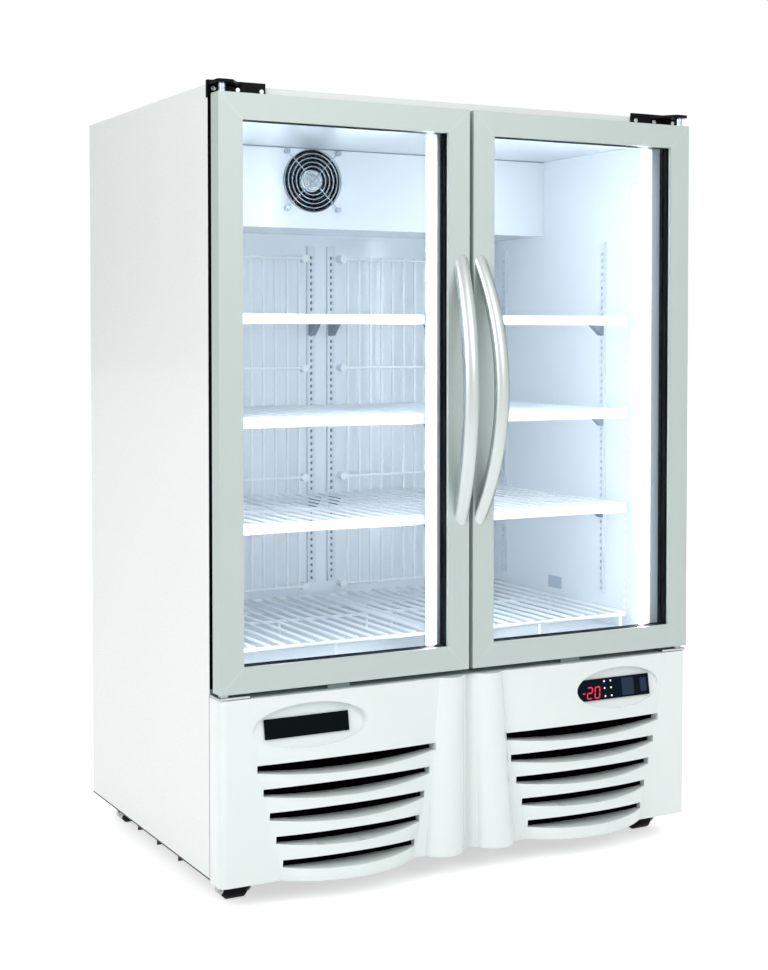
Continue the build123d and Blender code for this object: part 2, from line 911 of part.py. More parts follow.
def rear_grille():
    """Slotted sheet across the back of the machine compartment."""
    sheet = block(-shell_inner, shell_inner, body_back - grille_sheet, body_back, base_top, deck_bottom)
    slots = []
    for row in range(grille_rows):
        z = base_top + (deck_bottom - base_top) * (row + 1) / (grille_rows + 1)
        for column in range(grille_columns):
            x = shell_inner * (2 * (column + 0.5) / grille_columns - 1)
            slots.append(block(
                x - grille_slot_width / 2, x + grille_slot_width / 2, body_back - grille_sheet, body_back,
                z - grille_slot_height / 2, z + grille_slot_height / 2,
            ))
    sheet -= slots
    return sheet - rod(
        (inlet_x, body_back - grille_sheet, inlet_height), (inlet_x, body_back, inlet_height), inlet_diameter
    )


def power_inlet():
    """Cord gland through the rear sheet."""
    flange = body_back - grille_sheet
    front = (inlet_x, flange - inlet_length, inlet_height)
    back = (inlet_x, body_back, inlet_height)
    gland = rod(front, back, inlet_diameter)
    rim = (inlet_x, flange - inlet_flange_sheet, inlet_height)
    gland += rod(rim, (inlet_x, flange, inlet_height), inlet_flange)
    return gland - rod(front, back, inlet_bore)


# Rollers


def roller_places():
    return {
        "front_left": (-roller_x, body_front + roller_front),
        "front_right": (roller_x, body_front + roller_front),
        "rear_left": (-roller_x, body_back - roller_from_back),
        "rear_right": (roller_x, body_back - roller_from_back),
    }


def roller(x, y):
    left = (x - roller_width / 2, y, axle_height)
    right = (x + roller_width / 2, y, axle_height)
    wheel = rod(left, right, roller_diameter)
    wheel = chamfer(wheel.edges().filter_by(GeomType.CIRCLE), roller_bevel)
    return wheel - rod(left, right, roller_axle + 2 * roller_clearance)


def roller_bracket(x, y):
    """A bent fork under the base, with the axle bolt through both cheeks."""
    inner = roller_width / 2 + roller_side_gap
    outer = inner + bracket_sheet
    half = bracket_length / 2
    low = axle_height - bolt_head / 2 - bracket_sheet
    fork = block(x - outer, x + outer, y - half, y + half, low, base_bottom)
    fork -= block(x - inner, x + inner, y - half, y + half, low, base_bottom - bracket_sheet)
    foot_edges = fork.edges().filter_by(Axis.X).group_by(Axis.Z)[0]
    fork = chamfer(foot_edges, bracket_corner)
    fork += rod((x - outer, y, axle_height), (x + outer, y, axle_height), roller_axle)
    for end in (-1, 1):
        cheek = x + end * outer
        fork += rod((cheek, y, axle_height), (cheek + end * bolt_head_height, y, axle_height), bolt_head)
    return fork


# Hinges


def top_hinge(side):
    """Plate on the cabinet front over the door, a tapered arm with the pin, and a tab on the cabinet side."""
    x1 = side * half_width
    plate_front = body_front - hinge_plate
    tip = door_front + hinge_front_margin
    arm_top = hinge_top - hinge_arm_drop
    plate = block(x1, x1 - side * top_hinge_width, plate_front, body_front, hinge_bottom, hinge_top)
    outline = Polyline(
        (x1, body_front), (x1, tip), (x1 - side * hinge_arm_tip, tip),
        (x1 - side * hinge_arm_root, plate_front), (x1 - side * hinge_arm_root, body_front), close=True,
    )
    flat = Pos(0, 0, arm_top - hinge_plate) * make_face(outline.edges())
    arm = extrude(flat, amount=hinge_plate, dir=(0, 0, 1))
    arm = fillet(arm.edges().filter_by(Axis.Z).group_by(Axis.Y)[0], hinge_arm_corner)
    tab = block(
        x1, x1 + side * hinge_tab_sheet, body_front - hinge_plate, body_front + hinge_tab_depth,
        hinge_top - hinge_tab_drop, hinge_top,
    )
    pin_foot = door_top - pin_depth_in_door
    pin = drum(side * pin_x, pin_y, pin_foot, pin_diameter, arm_top - pin_foot)
    return plate + arm + tab + pin


lower_plate_bottom = kick_top + lower_hinge_lift
lower_plate_top = lower_plate_bottom + lower_hinge_plate


def bottom_hinge(side):
    """Plate between door and kick panel, with a washer and the pin under the door."""
    x1 = side * half_width
    plate = block(
        x1, x1 - side * lower_hinge_width, door_front + hinge_front_margin, body_front,
        lower_plate_bottom, lower_plate_top,
    )
    washer_top = door_bottom - lower_hinge_lift
    plate += drum(side * pin_x, pin_y, lower_plate_top, lower_washer_diameter, washer_top - lower_plate_top)
    pin_length = door_bottom + pin_depth_in_door - lower_plate_top
    return plate + drum(side * pin_x, pin_y, lower_plate_top, pin_diameter, pin_length)


def hinge_screws():
    """Round heads on the front of the two upper hinge plates."""
    heads = []
    y = body_front - hinge_plate
    z = (hinge_bottom + hinge_top) / 2 - hinge_plate / 2
    first = half_width - top_hinge_width + screw_inset
    for side in (-1, 1):
        for place in range(hinge_screw_count):
            x = side * (first + place * hinge_screw_pitch)
            heads.append(rod((x, y - screw_head_height, z), (x, y, z), screw_head_diameter))
    return Compound(heads)


# Doors


def door_ring(side, inset, face, y0, y1):
    """A flat frame, inset from the door's outline, face wide, between two depths."""
    xa = door_inner_x + inset
    xb = half_width - inset
    low = door_bottom + inset
    high = door_top - inset
    ring = block(side * xa, side * xb, y0, y1, low, high)
    return ring - block(side * (xa + face), side * (xb - face), y0, y1, low + face, high - face)


def door_bars(side):
    """The four mitred bars that the door frame is cut into."""
    xa = door_inner_x
    xb = half_width
    cx = (xa + xb) / 2
    reach = (xb - xa) / 2
    corners = {
        "bottom": [(xa, door_bottom), (xb, door_bottom), (cx, door_bottom + reach)],
        "top": [(xa, door_top), (xb, door_top), (cx, door_top - reach)],
        "inner": [(xa, door_bottom), (cx, door_bottom + reach), (cx, door_top - reach), (xa, door_top)],
        "outer": [(xb, door_bottom), (cx, door_bottom + reach), (cx, door_top - reach), (xb, door_top)],
    }
    wedges = []
    for outline in corners.values():
        points = [(side * x, door_front, z) for x, z in outline]
        face = make_face(Polyline(*points, close=True).edges())
        wedges.append(extrude(face, amount=door_thickness, dir=(0, 1, 0)))
    return wedges


def door_frame(side):
    """Aluminium frame: a front lip over the glass, a body beside it and a thin skin at the back edge."""
    frame = door_ring(side, 0, stile_face, door_front, outer_pane_front)
    frame += door_ring(side, 0, stile_body, outer_pane_front, inner_frame_front)
    frame += door_ring(side, 0, edge_skin, inner_frame_front, door_back)
    for low in (door_bottom, door_top - pin_depth_in_door - lower_hinge_lift):
        frame -= drum(
            side * pin_x, pin_y, low, pin_diameter + 2 * pin_clearance, pin_depth_in_door + lower_hinge_lift
        )
    return Compound([frame & wedge for wedge in door_bars(side)])


def door_inner_frame(side):
    return door_ring(side, edge_skin, stile_face - edge_skin, inner_frame_front, door_back)


def glass_reach():
    return stile_body + glazing_clearance


def glass_panes(side):
    """Front and rear pane of the sealed glass unit."""
    inset = glass_reach()
    panes = []
    for y in (outer_pane_front, inner_pane_front):
        panes.append(block(
            side * (door_inner_x + inset), side * (half_width - inset), y, y + pane_thickness,
            door_bottom + inset, door_top - inset,
        ))
    return Compound(panes)


def glass_spacer(side):
    inset = glass_reach()
    return door_ring(side, inset, stile_face - inset, spacer_front, inner_pane_front)


def door_gasket(side):
    return door_ring(side, gasket_inset, gasket_width, door_back, body_front - gasket_clearance)


def door_handle(side):
    """Bowed oval bar; its two ends are cut flush with the face of the stile."""
    half_height = (handle_top - handle_bottom) / 2
    half_thickness = handle_thickness / 2
    rise = half_height ** 2 + handle_bow ** 2 - half_thickness ** 2
    radius = rise / (2 * handle_bow + handle_thickness)
    middle_z = (handle_top + handle_bottom) / 2
    x = side * handle_offset
    out = Vector(side * math.sin(lean), -math.cos(lean), 0)
    centre = Vector(x, door_front, middle_z) - out * (radius - handle_bow)
    across = Vector(0, 0, 1).cross(out)
    tip_turn = math.acos((radius - handle_bow) / (radius + half_thickness))
    spread = math.degrees(tip_turn + handle_thickness / radius)
    apex = Plane(centre + out * radius, x_dir=across, z_dir=(0, 0, 1))
    section = apex * Ellipse(handle_width / 2, half_thickness)
    hub = Axis(centre, across)
    bar = revolve(section, axis=hub, revolution_arc=spread)
    bar += revolve(section, axis=hub, revolution_arc=-spread)
    low = handle_bottom - radius
    high = handle_top + radius
    return bar - block(x - half_height, x + half_height, door_front, door_front + radius, low, high)


os.makedirs("parts", exist_ok=True)
save("outer_shell", outer_shell())
save("back_panel", back_panel())
save("foam_insulation", foam_insulation())
save("inner_liner", inner_liner())
save("breaker_frame", breaker_frame())
save("centre_mullion", centre_mullion())
save("cabinet_deck", cabinet_deck())
save("base_frame", base_frame())
save("kick_panel", kick_panel())
save("air_filters", air_filters())
save("badge_plate", badge_plate())
save("control_panel", control_panel())
save("control_housing", control_housing())
save("control_key_wide", control_key(wide_key_x, wide_key_width, wide_key_height))
save("control_key_narrow", control_key(narrow_key_x, narrow_key_width, narrow_key_height))
save("evaporator_cover", evaporator_cover())
save("evaporator_fan_frame", evaporator_fan_frame())
save("evaporator_fan_blades", evaporator_fan_blades())
save("evaporator_fan_guard", evaporator_fan_guard())
save("evaporator_coil", evaporator_coil())
for side, bay in ((-1, "left"), (1, "right")):
    for top, level in zip(shelf_tops, ("low", "middle", "high")):
        save(f"shelf_{bay}_{level}", shelf(side, top))
save("price_strips", price_strips())
save("shelf_standards", shelf_standards())
save("shelf_clips", shelf_clips())
save("floor_racks", Compound([floor_rack(side) for side in (-1, 1)]))
save("back_guards", Compound([back_guard(side) for side in (-1, 1)] + guard_pegs()))
save("door_lamps", door_lamps())
save("compressor", compressor())
save("condenser_coil", condenser_coil())
save("condenser_fan_frame", condenser_fan_frame())
save("condenser_fan_blades", condenser_fan_blades())
save("condensate_pan", condensate_pan())
save("rear_grille", rear_grille())
save("power_inlet", power_inlet())
for place, (x, y) in roller_places().items():
    save(f"roller_{place}", roller(x, y))
save("roller_brackets", Compound([roller_bracket(x, y) for x, y in roller_places().values()]))
save("top_hinge_left", top_hinge(-1))
save("top_hinge_right", top_hinge(1))
save("bottom_hinges", Compound([bottom_hinge(side) for side in (-1, 1)]))
save("hinge_screws", hinge_screws())
for side, name in ((-1, "left"), (1, "right")):
    save(f"door_frame_{name}", door_frame(side))
    save(f"door_inner_frame_{name}", door_inner_frame(side))
    save(f"glass_panes_{name}", glass_panes(side))
    save(f"glass_spacer_{name}", glass_spacer(side))
    save(f"door_gasket_{name}", door_gasket(side))
    save(f"door_handle_{name}", door_handle(side))
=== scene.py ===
import math

import bmesh
import bpy
from mathutils import Matrix, Vector


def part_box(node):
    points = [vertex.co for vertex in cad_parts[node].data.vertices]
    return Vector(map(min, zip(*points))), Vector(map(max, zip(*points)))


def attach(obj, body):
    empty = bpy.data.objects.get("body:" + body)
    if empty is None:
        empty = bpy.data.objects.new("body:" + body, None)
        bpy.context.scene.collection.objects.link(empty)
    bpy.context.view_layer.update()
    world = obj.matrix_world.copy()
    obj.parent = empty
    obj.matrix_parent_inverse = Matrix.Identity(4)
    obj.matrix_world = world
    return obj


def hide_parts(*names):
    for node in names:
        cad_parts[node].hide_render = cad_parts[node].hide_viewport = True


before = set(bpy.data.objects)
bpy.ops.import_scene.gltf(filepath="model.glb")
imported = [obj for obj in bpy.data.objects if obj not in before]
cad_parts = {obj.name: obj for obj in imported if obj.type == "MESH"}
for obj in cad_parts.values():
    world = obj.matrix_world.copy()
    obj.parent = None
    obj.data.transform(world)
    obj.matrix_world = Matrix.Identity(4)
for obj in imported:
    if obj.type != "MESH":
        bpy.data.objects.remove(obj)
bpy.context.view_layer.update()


# Studio: a pale seamless floor, a white room round it and three large soft lamps.
# The camera stands a little to the left of the freezer, at the height of its upper shelf.
scene = bpy.context.scene
scene.view_settings.view_transform = "Standard"


def linear(code):
    """An sRGB hex colour as linear red, green, blue and alpha."""
    parts = [int(code[i:i + 2], 16) / 255 for i in (1, 3, 5)]
    return [p / 12.92 if p <= 0.04045 else ((p + 0.055) / 1.055) ** 2.4 for p in parts] + [1.0]


def add(tree, kind, links=(), **settings):
    """A new node; links are (its input, another node's output), settings its properties or inputs."""
    made = tree.nodes.new(kind)
    for name, value in settings.items():
        if hasattr(made, name):
            setattr(made, name, value)
        else:
            made.inputs[name.replace("_", " ")].default_value = value
    for place, source in links:
        tree.links.new(made.inputs[place], source)
    return made


def mesh_object(form, name):
    """The finished bmesh as an object at the origin."""
    mesh = bpy.data.meshes.new(name)
    form.to_mesh(mesh)
    form.free()
    piece = bpy.data.objects.new(name, mesh)
    scene.collection.objects.link(piece)
    return piece


floor_half, floor_glow = 40.0, 0.58
floor_form = bmesh.new()
bmesh.ops.create_grid(floor_form, x_segments=1, y_segments=1, size=floor_half)
floor = mesh_object(floor_form, "studio_floor")
paper = bpy.data.materials.new("studio_paper")
paper.use_nodes = True
paper_tree = paper.node_tree
paper_tree.nodes.clear()
rays = add(paper_tree, "ShaderNodeLightPath")
seen = add(paper_tree, "ShaderNodeMath", [(0, rays.outputs["Is Camera Ray"]),
           (1, rays.outputs["Is Glossy Ray"])], operation="MAXIMUM")
seen = add(paper_tree, "ShaderNodeMath", [(0, seen.outputs[0]),
           (1, rays.outputs["Is Transmission Ray"])], operation="MAXIMUM")
lift = add(paper_tree, "ShaderNodeMath", [(0, seen.outputs[0])], operation="MULTIPLY")
lift.inputs[1].default_value = floor_glow
surface = add(paper_tree, "ShaderNodeBsdfDiffuse", Color=linear("#F4F5F5"))
glow = add(paper_tree, "ShaderNodeEmission", [("Strength", lift.outputs[0])], Color=linear("#FFFFFF"))
both = add(paper_tree, "ShaderNodeAddShader", [(0, surface.outputs[0]), (1, glow.outputs[0])])
add(paper_tree, "ShaderNodeOutputMaterial", [("Surface", both.outputs[0])])
floor.data.materials.append(paper)

room = bpy.data.worlds.new("white_room")
scene.world = room
room.use_nodes = True
room_tree = room.node_tree
room_tree.nodes.clear()
rays = add(room_tree, "ShaderNodeLightPath")
seen = add(room_tree, "ShaderNodeMath", [(0, rays.outputs["Is Camera Ray"]),
           (1, rays.outputs["Is Transmission Ray"])], operation="MAXIMUM")
aim = add(room_tree, "ShaderNodeTexCoord")
aim = add(room_tree, "ShaderNodeSeparateXYZ", [(0, aim.outputs["Generated"])])
fade = add(room_tree, "ShaderNodeMapRange", [("Value", aim.outputs["Y"])],
           From_Min=-0.2, From_Max=0.8, To_Min=1.0, To_Max=0.35)
level = add(room_tree, "ShaderNodeMix", [("Factor", rays.outputs["Is Glossy Ray"]),
            (3, fade.outputs["Result"])], A=0.6)
level = add(room_tree, "ShaderNodeMix", [("Factor", seen.outputs[0]), (2, level.outputs[0])], B=1.0)
sky = add(room_tree, "ShaderNodeBackground", [("Strength", level.outputs[0])], Color=linear("#FFFFFF"))
add(room_tree, "ShaderNodeOutputWorld", [("Surface", sky.outputs[0])])

for name, place, target, width, watts in (
    ("lamp_left", (-2.6, -1.6, 2.1), (-0.45, 0.0, 0.8), 2.2, 40),
    ("lamp_front", (0.9, -3.4, 2.4), (0.0, -0.3, 0.7), 2.4, 30),
    ("lamp_back", (1.8, 2.4, 2.6), (0.0, 0.3, 0.8), 2.2, 26),
):
    light = bpy.data.lights.new(name, "AREA")
    light.shape = "DISK"
    light.size = width
    light.energy = watts
    lamp = bpy.data.objects.new(name, light)
    lamp.location = place
    lamp.rotation_euler = (Vector(target) - Vector(place)).to_track_quat("-Z", "Y").to_euler()
    lamp.visible_camera = False
    scene.collection.objects.link(lamp)

lens = bpy.data.cameras.new("camera")
lens.lens = 61.35
lens.sensor_width = 36.0
lens.shift_y = -0.0954
lens.clip_end = 200.0
camera = bpy.data.objects.new("camera", lens)
camera.location = (-1.442, -2.6636, 0.906)
camera.rotation_euler = (math.radians(88.11), 0.0, math.radians(-28.19))
scene.collection.objects.link(camera)
scene.camera = camera


# Base frame under the cabinet: a dark painted steel pan with three folded cross members.
# The paint is a thin satin black that shows a fine spray texture.
def finish(name, colour, metallic, rough, grain_mm, relief_mm, spread=0.08, tint=0.04, **sockets):
    """One opaque finish: clouded base colour, roughness and relief from a grain of a real size."""
    made = bpy.data.materials.new(name)
    made.use_nodes = True
    tree = made.node_tree
    shader = tree.nodes["Principled BSDF"]
    shader.inputs["Metallic"].default_value = metallic
    for socket, value in sockets.items():
        shader.inputs[socket.replace("_", " ")].default_value = value
    where = add(tree, "ShaderNodeTexCoord")
    cloud = add(tree, "ShaderNodeTexNoise", [("Vector", where.outputs["Object"])], Scale=9.0, Detail=3.0)
    grain = add(tree, "ShaderNodeTexNoise", [("Vector", where.outputs["Object"])],
                Scale=1000.0 / grain_mm, Detail=2.0)
    paint = add(tree, "ShaderNodeMix", [("Factor", cloud.outputs["Fac"])], data_type="RGBA")
    darker, lighter = paint.inputs[6], paint.inputs[7]
    darker.default_value = [c * (1 - tint) for c in linear(colour)[:3]] + [1.0]
    lighter.default_value = linear(colour)
    tree.links.new(shader.inputs["Base Color"], paint.outputs[2])
    gloss = add(tree, "ShaderNodeMapRange", [("Value", grain.outputs["Fac"])],
                To_Min=rough - spread, To_Max=rough + spread)
    tree.links.new(shader.inputs["Roughness"], gloss.outputs["Result"])
    relief = add(tree, "ShaderNodeBump", [("Height", grain.outputs["Fac"])],
                 Strength=0.6, Distance=relief_mm / 1000)
    tree.links.new(shader.inputs["Normal"], relief.outputs["Normal"])
    return made


def dress(node, material):
    """Give a CAD node its finish, on every slot."""
    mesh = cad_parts[node].data
    mesh.materials.clear()
    mesh.materials.append(material)


def fitted(piece, material, body):
    """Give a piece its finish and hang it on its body."""
    piece.data.materials.append(material)
    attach(piece, body)


def softened(node, name, body, material, round_mm=0.0, crease=32.0, facets=2):
    """A merged copy of a CAD solid, its hard edges eased by a small radius, standing for that node."""
    same_point, same_plane, least_bend, sheet_share = 2e-6, math.radians(0.6), 0.012, 6
    in_line, in_plane = 0.9998, 1e-4
    sharp = math.radians(crease)
    form = bmesh.new()
    form.from_mesh(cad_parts[node].data)
    bmesh.ops.remove_doubles(form, verts=form.verts, dist=same_point)
    bmesh.ops.dissolve_limit(form, angle_limit=same_plane, verts=form.verts, edges=form.edges)
    hard = [e for e in form.edges if len(e.link_faces) == 2 and e.calc_face_angle(0.0) > sharp]
    bent = {e for e in form.edges if least_bend < e.calc_face_angle(0.0) <= sharp}
    sheets = set()
    for face in form.faces:
        beside = [other.calc_area() for e in face.edges if e in bent
                  for other in e.link_faces if other != face]
        face.smooth = bool(beside) and face.calc_area() < sheet_share * max(beside)
        face.material_index = 0
        if not face.smooth:
            depth = face.normal.dot(face.verts[0].co)
            sheets.add((*(round(c, 4) for c in face.normal), round(depth, 5)))
    if round_mm:
        bmesh.ops.bevel(form, geom=hard, offset=round_mm / 1000, offset_type="OFFSET", affect="EDGES",
                        segments=facets, profile=0.5, clamp_overlap=True, material=-1)
        form.normal_update()
        planes = [(Vector(sheet[:3]), sheet[3]) for sheet in sheets]
        for face in form.faces:
            middle = face.calc_center_median()
            face.smooth = not any(n.dot(face.normal) > in_line and abs(n.dot(middle) - depth) < in_plane
                                  for n, depth in planes)
    for edge in form.edges:
        edge.smooth = edge.calc_face_angle(0.0) <= sharp
    piece = mesh_object(form, name)
    fitted(piece, material, body)
    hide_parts(node)
    return piece


base_paint = finish("satin_black_painted_steel", "#23292A", 0.0, 0.5, 1.2, 0.02)
dress("base_frame", base_paint)


# Four short rollers: solid black nylon wheels with bevelled shoulders.
# Each turns on a zinc-plated bolt between the cheeks of a bent steel fork.
nylon = finish("moulded_black_nylon", "#050607", 0.0, 0.46, 1.0, 0.03, Specular_IOR_Level=0.08)
for corner in ("front_left", "front_right", "rear_left", "rear_right"):
    softened(f"roller_{corner}", f"roller_wheel_{corner}", f"roller_{corner}", nylon, 0.8)
zinc = finish("bright_zinc_plated_steel", "#B9BFC0", 1.0, 0.3, 2.5, 0.01, tint=0.12)
softened("roller_brackets", "roller_forks", "cabinet", zinc, 0.6)


# Deck under the insulation: a grey-green painted steel sheet whose folded front edge
# shows as a dark line between the doors and the kick panel.
deck_paint = finish("grey_green_painted_steel", "#869A97", 0.0, 0.42, 1.2, 0.02)
dress("cabinet_deck", deck_paint)


# Outer shell and back panel: folded sheet steel, white stove enamel with a soft gloss.
# The foam between shell and liner is a yellowish rigid polyurethane, out of sight.
enamel = finish("white_enamelled_steel", "#EDF2F1", 0.0, 0.3, 2.2, 0.012, tint=0.012, Coat_Weight=0.15)
softened("outer_shell", "shell_sheets", "cabinet", enamel, 0.4)
dress("back_panel", enamel)
foam = finish("rigid_polyurethane_foam", "#D9C79A", 0.0, 0.85, 3.0, 0.2, tint=0.15)
dress("foam_insulation", foam)


# Inner liner: white enamelled aluminium sheet, glossy, with a cool cast of the lamps' light painted into
# its colour.
# The breaker frame round its mouth is extruded white PVC with a faint painted glow standing in for the
# lamps' light, black where the gasket shuts and enamelled at the head; the mullion is enamelled like the
# liner.
# The pale blue of the liner enamel is a painted cool cast of the lamp light.
liner_enamel = finish("white_enamelled_liner_painted_cool_cast", "#EBF1F7", 0.0, 0.16, 3.0, 0.006,
                      spread=0.04, tint=0.01)
dress("inner_liner", liner_enamel)
white_pvc = finish("white_extruded_pvc", "#EFF4F6", 0.0, 0.32, 2.0, 0.008, tint=0.01)
black_pvc = finish("extruded_black_pvc", "#05080B", 0.0, 0.5, 1.4, 0.02, Specular_IOR_Level=0.06)
# The faint emission on the breaker frame is a painted glow standing in for light from the door lamps.
jamb_pvc_painted_glow = finish("white_pvc_painted_glow", "#DCE7F2", 0.0, 0.32, 2.0, 0.008, tint=0.01,
                  Emission_Color=linear("#DCE7F2"), Emission_Strength=0.14)
jamb = softened("breaker_frame", "jamb_frame", "cabinet", jamb_pvc_painted_glow)
jamb.data.materials.append(black_pvc)
jamb.data.materials.append(enamel)
seal_x, head_z = 0.4405, 1.2700
cuts = (((-seal_x, 0, 0), (1, 0, 0)), ((seal_x, 0, 0), (1, 0, 0)), ((0, 0, head_z), (0, 0, 1)))
ring = bmesh.new()
ring.from_mesh(jamb.data)
for point, way in cuts:
    bmesh.ops.bisect_plane(ring, geom=ring.verts[:] + ring.edges[:] + ring.faces[:],
                           plane_co=point, plane_no=way)
for face in ring.faces:
    middle = face.calc_center_median()
    face.material_index = 1 if abs(middle.x) > seal_x else 2 if middle.z > head_z else 0
ring.to_mesh(jamb.data)
ring.free()
softened("centre_mullion", "mullion_post", "cabinet", liner_enamel)


# Machine compartment: compressor pot in black lacquer, copper-tubed condenser with aluminium fins,
# a square fan, a plastic drip pan, the slotted rear sheet and the cord gland.
pot_lacquer = finish("black_lacquered_steel", "#1B1D1E", 0.0, 0.28, 2.0, 0.015)
softened("compressor", "compressor_pot", "cabinet", pot_lacquer, 0.8)
fins = finish("raw_aluminium_fins", "#B9BEC0", 1.0, 0.38, 1.5, 0.02, tint=0.1)
dress("condenser_coil", fins)
fan_plastic = finish("moulded_black_pbt", "#061222", 0.0, 0.7, 1.0, 0.02, Specular_IOR_Level=0.03)
softened("condenser_fan_frame", "condenser_shroud", "cabinet", fan_plastic)
softened("condenser_fan_blades", "condenser_rotor", "condenser_fan", fan_plastic)
pan_plastic = finish("moulded_grey_polypropylene", "#8E9496", 0.0, 0.5, 1.2, 0.03)
dress("condensate_pan", pan_plastic)
dress("rear_grille", enamel)
softened("power_inlet", "cord_gland", "cabinet", black_pvc, 0.4)


# Kick panel: one white ABS moulding with a bulged, louvred chin under each door.
# Open-cell filter foam behind the slots is painted near-black as the shade inside the machine compartment,
# which makes the slots black. A folded strip of the deck, with two small clips, lies over its top edge;
# thin dark strips at its ends are painted shadow in the joints with the cabinet sides.
def bar(form, low, high, ease, place=Matrix.Identity(4)):
    """A straight bar between two corners with eased edges, laid out in a place of its own."""
    size = Vector(high) - Vector(low)
    middle = (Vector(high) + Vector(low)) / 2
    block = place @ Matrix.Translation(middle) @ Matrix.Diagonal(size).to_4x4()
    made = bmesh.ops.create_cube(form, size=1.0, matrix=block)
    edges = list({e for v in made["verts"] for e in v.link_edges})
    bmesh.ops.bevel(form, geom=edges, offset=ease, offset_type="OFFSET", affect="EDGES", segments=2,
                    profile=0.5, clamp_overlap=True, material=-1)


abs_white = finish("gloss_white_moulded_abs", "#E8F0EE", 0.0, 0.2, 4.0, 0.01, tint=0.01, Coat_Weight=0.5)
softened("kick_panel", "kick_moulding", "cabinet", abs_white, 1.0, crease=36.0, facets=3)
sheet_ease = 0.0004
strip_half, strip_front, strip_back, strip_low, strip_top = 0.404, -0.2835, -0.2400, 0.3375, 0.3387
strip = bmesh.new()
bar(strip, (-strip_half, strip_front, strip_low), (strip_half, strip_back, strip_top), sheet_ease)
# The strip is painted paler than the deck it is folded from, a painted lift of the shade it lies in under
# the doors.
fitted(mesh_object(strip, "deck_apron"),
       finish("grey_green_steel_painted_light", "#A9B8B6", 0.0, 0.42, 1.2, 0.02), "cabinet")
clip_lefts = (-0.266, 0.188)
clip_width, clip_front, clip_back, clip_top = 0.040, -0.2765, -0.2750, 0.3445
clips = bmesh.new()
for left in clip_lefts:
    bar(clips, (left, clip_front, strip_top), (left + clip_width, clip_back, clip_top), sheet_ease)
fitted(mesh_object(clips, "kick_clips"), deck_paint, "cabinet")
# Thin dark strips at the ends of the kick panel are painted shadow in the joints with the cabinet sides.
joint_near, joint_far, joint_ease = 0.4560, 0.4572, 0.0001
joint_front, joint_back, joint_low, joint_top = -0.2403, -0.2392, 0.0420, 0.3400
joint_shade = bmesh.new()
for side in (-1, 1):
    left, right = sorted((side * joint_near, side * joint_far))
    bar(joint_shade, (left, joint_front, joint_low), (right, joint_back, joint_top), joint_ease)
fitted(mesh_object(joint_shade, "kick_joint_painted_shadow"),
       finish("painted_joint_shadow", "#1C2424", 0.0, 0.7, 1.4, 0.05, Specular_IOR_Level=0.1),
       "cabinet")
# The filter foam is painted near-black with no gloss as the shade inside the machine compartment behind
# the louvres.
filter_painted_shade = finish("filter_foam_painted_shade", "#030303", 0.0, 0.95, 1.6, 0.5, spread=0.03, tint=0.4,
                     Specular_IOR_Level=0.0)
dress("air_filters", filter_painted_shade)


# Badge plate: a bare plate of gloss black acrylic with eased edges.
# It is stuck on the floor of the left dish of the kick panel.
acrylic = finish("gloss_black_acrylic", "#020B0C", 0.0, 0.16, 3.0, 0.005, spread=0.03,
                 Specular_IOR_Level=0.06)
softened("badge_plate", "badge_blank", "cabinet", acrylic, 0.8)


# Controller: a navy printed film over a black housing in the right dish, with two soft keys.
# Behind the film are a red two-digit display with a minus sign and six white lamps.
film = finish("navy_printed_film", "#05121E", 0.0, 0.24, 2.0, 0.006, spread=0.04, Specular_IOR_Level=0.05)
softened("control_panel", "control_film", "cabinet", film, 0.5)
dress("control_housing", black_pvc)
key_film = finish("slate_printed_film", "#1B2C42", 0.0, 0.3, 2.0, 0.006, spread=0.04,
                  Specular_IOR_Level=0.2)
softened("control_key_wide", "wide_key_pad", "wide_key", key_film, 0.5)
softened("control_key_narrow", "narrow_key_pad", "narrow_key", key_film, 0.5)
tilt = math.radians(10.0)
face_out = Vector((0.0, -math.cos(tilt), math.sin(tilt)))
face_up = Vector((0.0, math.sin(tilt), math.cos(tilt)))
film_x, film_z, film_thick, dish_inset, dish_half = 0.293, 0.285, 0.0040, 0.004, 0.036
door_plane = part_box("door_frame_left")[0][1]
dish_floor = Vector((film_x, door_plane - dish_inset + dish_half * math.sin(tilt), film_z))


def on_film(x, y, lift):
    """A point on the controller face, x and y in mm from its middle, lift in mm over the film."""
    foot = dish_floor + Vector((x / 1000, 0, 0)) + face_up * (y / 1000)
    return foot + face_out * (film_thick + lift / 1000)


def lit(name, colour, strength):
    """A lamp or display segment: a coloured body that glows a little."""
    made = finish(name, colour, 0.0, 0.3, 2.0, 0.004, spread=0.03)
    shader = made.node_tree.nodes["Principled BSDF"]
    shader.inputs["Emission Color"].default_value = linear(colour)
    shader.inputs["Emission Strength"].default_value = strength
    return made


digit_width, digit_height, stroke, fill = 10.0, 19.0, 2.3, 0.96
digit_lean, digit_drop, digit_lift, digit_thick = 0.14, 5.0, 0.05, 0.0002


def segment(form, x, y, length, width, upright):
    """One pointed bar of a seven-segment digit, standing just over the film."""
    half, thick = length / 2, width / 2
    outline = [(-half, 0), (-half + thick, -thick), (half - thick, -thick),
               (half, 0), (half - thick, thick), (-half + thick, thick)]
    points = []
    for u, v in outline:
        px, py = (v, u) if upright else (u, v)
        slant = digit_lean * (y + py)
        points.append(form.verts.new(on_film(x + px + slant, y + py - digit_drop, digit_lift)))
    face = form.faces.new(points)
    face.normal_update()
    if face.normal.dot(face_out) < 0:
        face.normal_flip()
    raised = bmesh.ops.extrude_face_region(form, geom=[face])
    bmesh.ops.translate(form, vec=face_out * digit_thick,
                        verts=[g for g in raised["geom"] if isinstance(g, bmesh.types.BMVert)])


